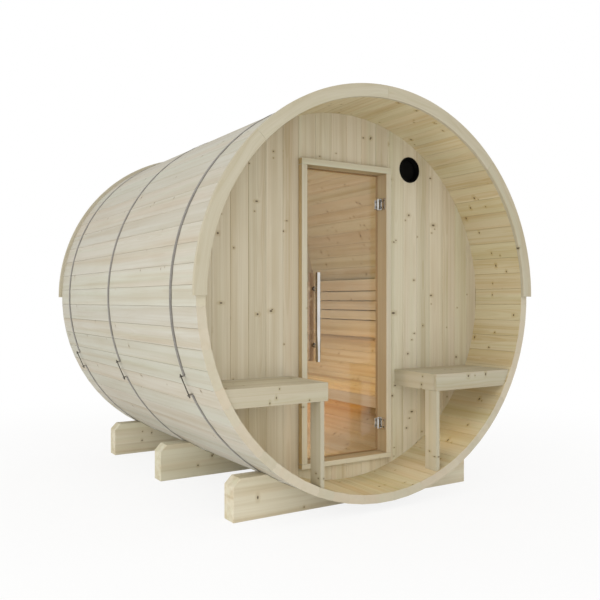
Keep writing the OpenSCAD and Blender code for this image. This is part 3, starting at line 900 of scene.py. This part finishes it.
def tensioner(piece, y):
    """Threaded rod between a band's ears, with a nut and a washer outside each ear."""
    rod_r = BARREL_R + 15.5
    mid = EAR_AT + EAR_SPAN / 2
    cos_mid, sin_mid = math.cos(mid), math.sin(mid)

    def on_rod(a, b, h):
        r = rod_r + a
        return r * cos_mid - h * sin_mid, y + b, AXIS_Z + r * sin_mid + h * cos_mid

    # radii of the thread's root, crest and tip, and how far the rod stands out in all
    pitch, root, crest, tip, overhang = 1.4, 2.5, 3.0, 2.3, 28
    nut_r, half_nut, nut_offset = 5.4, 2.4, 5.4
    washer_r, washer_bore, half_washer, washer_offset = 6.3, 3.2, 0.5, 2.4
    half = rod_r * math.tan(EAR_SPAN / 2)
    length = 2 * half + overhang
    thread = [(0, -length / 2), (tip, -length / 2)]
    for k in range(int(length / pitch)):
        h = -length / 2 + (k + 0.3) * pitch
        thread += [(root, h), (crest, h + pitch / 2)]
    thread += [(tip, length / 2), (0, length / 2)]
    lathe(piece, thread, on_rod, 20)
    hexagon = [(nut_r * math.cos(a), nut_r * math.sin(a)) for a in [math.pi / 3 * k for k in range(6)]]
    for s in (-1, 1):
        middle = s * (half + nut_offset)
        nut = extrude(hexagon, middle - half_nut, middle + half_nut, on_rod)
        piece.add(*bevelled(nut, 0.4), smooth=True)
        middle = s * (half + washer_offset)
        start, end = middle - half_washer, middle + half_washer
        lathe(piece, [(washer_bore, start), (washer_r - 0.2, start), (washer_r, middle), (washer_r - 0.2, end),
                      (washer_bore, end)], on_rod, 28)


def bands():
    rods = Piece("tensioners")
    for name in ("band_front", "band_middle", "band_rear"):
        tensioner(rods, band(name))
    rods.done(ROD_STEEL, "band_steel", replaces=["tensioner_rods"])


def cradles():
    """Beams with a round saddle, and a shallow groove in the saddle where the band passes."""
    beam_top, cut, groove, play, grain_z = 205, 38, 2.2, 3, 100
    top = beam_top - AXIS_Z
    reach = math.sqrt(CLEAR_R * CLEAR_R - top * top)

    def saddle(radius):
        return arc(radius, math.atan2(top, reach), math.atan2(top, -reach), 60)[1:-1]

    for place in ("front", "middle", "rear"):
        name = "cradle_%s_beam" % place
        low, high = box(name)
        band_low, band_high = box("band_" + place)
        half = high[0]
        head = [(-half, -AXIS_Z), (half, -AXIS_Z), (half, top - cut), (half - cut, top), (reach, top)]
        tail = [(-reach, top), (-half + cut, top), (-half, top - cut)]
        plain, deep = head + saddle(CLEAR_R) + tail, head + saddle(CLEAR_R + groove) + tail
        start, end = band_low[1] - play, band_high[1] + play
        levels = [(low[1], plain), (start, plain), (start, deep), (end, deep), (end, plain), (high[1], plain)]
        # rows of vertex numbers, with one vertex for each point that two rows share
        numbers = {}
        rows = [[numbers.setdefault(from_xz(a, b, y), len(numbers)) for a, b in outline]
                for y, outline in levels]
        faces = [tuple(rows[0][::-1]), tuple(rows[-1])]
        n = len(plain)
        for under, over in zip(rows, rows[1:]):
            for i in range(n):
                j = (i + 1) % n
                faces += quad(under[i], under[j], over[j], over[i])

        def in_saddle(p, q):
            return all(math.hypot(v[0], v[2] - AXIS_Z) < CLEAR_R + 3 and low[1] + 1 < v[1] < high[1] - 1
                       for v in (p, q))

        piece = Piece(name + "_block")
        grain = along_axis("xz", (0, (low[1] + high[1]) / 2, grain_z))
        piece.add(*bevelled((list(numbers), faces), 2.5, angle=20, keep=in_saddle), grain)
        piece.done(CRADLE_WOOD, "cradle_wood", replaces=[name])


# ---- benches

def inside_x(z, clear=0.6):
    """Half width of the barrel's inside at a height z above the axis, less a little play. Height and half width
    can also change places."""
    return math.sqrt(max(0, (INNER_FLAT - clear) ** 2 - z * z))


def end_board(piece, x0, z0, z1, y0, y1, side, axis, width=1.5):
    """Board from x0 out to the curved wall, between two heights above the axis."""
    steps = 6
    levels = [z0 + (z1 - z0) * k / steps for k in range(steps + 1)]
    wall_line = [(inside_x(z), z) for z in levels]
    outline = [(side * x, z) for x, z in [(x0, z0)] + wall_line + [(x0, z1)]]
    centre = (side * (x0 + wall_line[0][0]) / 2, (y0 + y1) / 2, AXIS_Z + (z0 + z1) / 2)
    piece.add(*bevelled(extrude(outline, y0, y1, from_xz), width), along_axis(axis, centre))


def porch_benches():
    """On each side an end board and a front board under three top boards, and a post down to the shell."""
    apron_t, top_t, boards, gap, joint = 22, 28, 3, 1.2, 0.3
    for word, side in (("right", 1), ("left", -1)):
        low, high = box("porch_bench_" + word)
        start = low[0] if side > 0 else -high[0]
        top, bottom = high[2] - AXIS_Z, low[2] - AXIS_Z
        piece = Piece("porch_seat_" + word)
        end_board(piece, start, bottom, top, low[1], low[1] + apron_t, side, "xz")
        y0 = low[1] + apron_t + joint
        x_in, x_out = sorted((side * start, side * (start + apron_t)))
        plank(piece, (x_in, y0, low[2]), (x_out, high[1], high[2]), "yz")
        pitch = (high[1] - y0 + gap) / boards
        for k in range(boards):
            front, back = y0 + k * pitch, y0 + (k + 1) * pitch - gap
            end_board(piece, start + apron_t + joint, top - top_t, top, front, back, side, "x", 1.2)
        piece.done(BENCH_WOOD, "bench_wood", replaces=["porch_bench_" + word])

        low, high = box("porch_post_" + word)
        x_left, x_right = low[0], high[0]
        piece = Piece("post_" + word)
        foot = [(x, -inside_x(x, 0.5)) for x in [x_right - (x_right - x_left) * k / 4 for k in range(5)]]
        outline = [(x_left, high[2] - AXIS_Z), (x_right, high[2] - AXIS_Z)] + foot
        grain = along_axis(UPRIGHT_CORNER, ((x_left + x_right) / 2, (low[1] + high[1]) / 2, 0))
        piece.add(*bevelled(extrude(outline, low[1], high[1], from_xz), 1.5), grain)
        piece.done(BENCH_WOOD, "bench_wood", replaces=["porch_post_" + word])


def bearers(name, node, axis):
    """A pair of battens on the curved wall, one at each end of the node."""
    width = 40
    low, high = box(node)
    piece = Piece(name)
    for y0 in (low[1], high[1] - width):
        end_board(piece, low[0], low[2] - AXIS_Z, high[2] - AXIS_Z, y0, y0 + width, 1, axis)
    piece.done(INNER_WOOD, "inner_wood", replaces=[node])


def inner_boards(name, node, axis, width, corners):
    """One piece of the inner bench, from the low and high corners of its boards."""
    piece = Piece(name)
    for low, high in corners:
        plank(piece, low, high, axis, width)
    piece.done(INNER_WOOD, "inner_wood", replaces=[node])


def inner_bench():
    low, high = box("bench_seat")
    boards, gap = 4, 8
    pitch = (high[0] - low[0] + gap) / boards
    corners = [((low[0] + k * pitch, low[1], low[2]), (low[0] + (k + 1) * pitch - gap, high[1], high[2]))
               for k in range(boards)]
    inner_boards("seat_boards", "bench_seat", "y", 2.5, corners)
    inner_boards("seat_front", "bench_apron", "yz", 2.0, [box("bench_apron")])
    bearers("seat_cleats", "bench_cleats", "x")

    # heights above the axis where one slat ends and the next begins, as in the photograph
    edges = [131, 45, -25, -93, -163, -286]
    half_gap = 3
    low, high = box("backrest_slats")
    corners = [((low[0], low[1], AXIS_Z + bottom + half_gap), (high[0], high[1], AXIS_Z + top - half_gap))
               for top, bottom in zip(edges, edges[1:])]
    inner_boards("back_slats", "backrest_slats", "yz", 2.5, corners)
    bearers("back_battens", "backrest_battens", UPRIGHT)


# ---- stage

def area_light(name, place, aim, size, power, colour=(1, 1, 1), spread=180):
    """Lamp that shines from place towards aim, and is itself seen neither directly nor in a mirror."""
    data = bpy.data.lights.new(name, "AREA")
    data.shape = "RECTANGLE"
    data.size, data.size_y = size
    data.energy, data.color = power, colour
    data.spread = math.radians(spread)
    lamp = linked(name, data)
    lamp.location = place
    lamp.rotation_mode = "QUATERNION"
    lamp.rotation_quaternion = (Vector(aim) - Vector(place)).to_track_quat("-Z", "Y")
    lamp.visible_glossy = False
    lamp.visible_camera = False


def world(strength):
    """White backdrop, which lights the object by strength and a little warmer than white."""
    made = bpy.data.worlds.new("studio")
    bpy.context.scene.world = made
    g = Graph(made, "OutputWorld")
    dim = g.node("Background", {"Color": (1.0, 0.99, 0.96, 1), "Strength": strength})
    white = g.node("Background", {"Color": (1, 1, 1, 1), "Strength": 1.0})
    g.blend(g.directly_seen(), dim, white)


def floor():
    """Pale round floor that keeps the shadow near the object and fades to the white of the backdrop."""
    mesh = bpy.data.meshes.new("floor")
    bm = bmesh.new()
    bmesh.ops.create_circle(bm, cap_ends=True, radius=60, segments=96)
    bm.to_mesh(mesh)
    bm.free()
    obj = linked("floor", mesh)
    obj.location.z = -0.0005
    g = material_graph("floor")
    away = g.vec("LENGTH", g.node("TexCoord").outputs["Object"])
    share = g.math("MULTIPLY", g.directly_seen(), g.smooth(away, 1.4, 4.0, 0.85, 1.0))
    matt = g.node("BsdfDiffuse", {"Color": (0.93, 0.93, 0.92, 1)})
    glow = g.node("Emission", {"Color": (1, 1, 1, 1), "Strength": 1.0})
    g.blend(share, matt, glow)
    mesh.materials.append(g.owner)


def camera():
    """The photograph's place and lens, as fitted to it. Metres and degrees."""
    data = bpy.data.cameras.new("camera")
    data.sensor_width = 36
    data.lens = 43.45
    cam = linked("camera", data)
    cam.location = (-2.265, -3.929, 1.041)
    cam.rotation_euler = (math.radians(90), 0, math.radians(-32.055))
    bpy.context.scene.camera = cam


staves()
arch("arch_front", "front_arch")
arch("arch_rear", "rear_arch")
walls()
vent()
door_frame()
door()
hinges()
bands()
cradles()
porch_benches()
inner_bench()

camera()
floor()
world(0.85)
# Metres and watts. The big lamps stand round the object, and the small ones lift the porch and the cabin.
area_light("left", (-5.5, -3.0, 4.0), (0, 0.0, 1.0), (4.0, 3.0), 30)
area_light("left_low", (-4.6, -1.2, 0.35), (-0.8, 0.1, 0.3), (4.0, 0.6), 30)
area_light("front", (-1.6, -6.5, 1.5), (0, -0.7, 0.9), (4.5, 2.6), 14)
area_light("front_low", (-2.9, -4.0, 0.30), (-0.3, -0.3, 0.25), (2.2, 0.5), 15)
area_light("front_high", (-2.0, -5.5, 5.0), (0.0, -0.7, 0.9), (4.0, 3.0), 24)
area_light("porch_low", (0.0, -1.12, 0.34), (0.0, -0.77, 0.30), (0.5, 0.12), 0.35, (1.0, 0.85, 0.65))
area_light("bench_left", (-0.62, -1.03, 0.95), (-0.62, -1.04, 0.45), (0.3, 0.3), 0.13, (1.0, 0.95, 0.85), 120)
area_light("under_left", (-0.68, -0.95, 0.40), (-0.30, -0.93, 0.28), (0.12, 0.08), 0.10, (1.0, 0.85, 0.5))
area_light("under_right", (0.45, -0.98, 0.36), (0.85, -0.96, 0.40), (0.15, 0.1), 0.12, (1.0, 0.72, 0.4))
area_light("cabin_top", (-0.1, 0.15, 1.90), (0.3, 0.15, 0.6), (1.2, 0.5), 3.5, (0.5, 0.9, 1.0))
area_light("cabin_side", (-0.80, 0.25, 0.95), (0.5, 0.25, 0.7), (1.2, 0.8), 12.6, (1.0, 0.955, 1.0))
area_light("under_bench", (0.55, 0.45, 0.40), (0.45, 0.45, 0.10), (1.1, 0.3), 0.9, (1.0, 0.45, 0.05))
area_light("seat_front", (0.42, -0.05, 0.95), (0.43, -0.05, 0.48), (1.1, 0.1), 2.6, (1.0, 0.66, 0.25))
area_light("seat_back", (0.60, 0.85, 0.72), (0.90, 0.88, 0.55), (0.4, 0.15), 0.08, (1.0, 0.55, 0.05))
bpy.context.scene.view_settings.view_transform = "Standard"
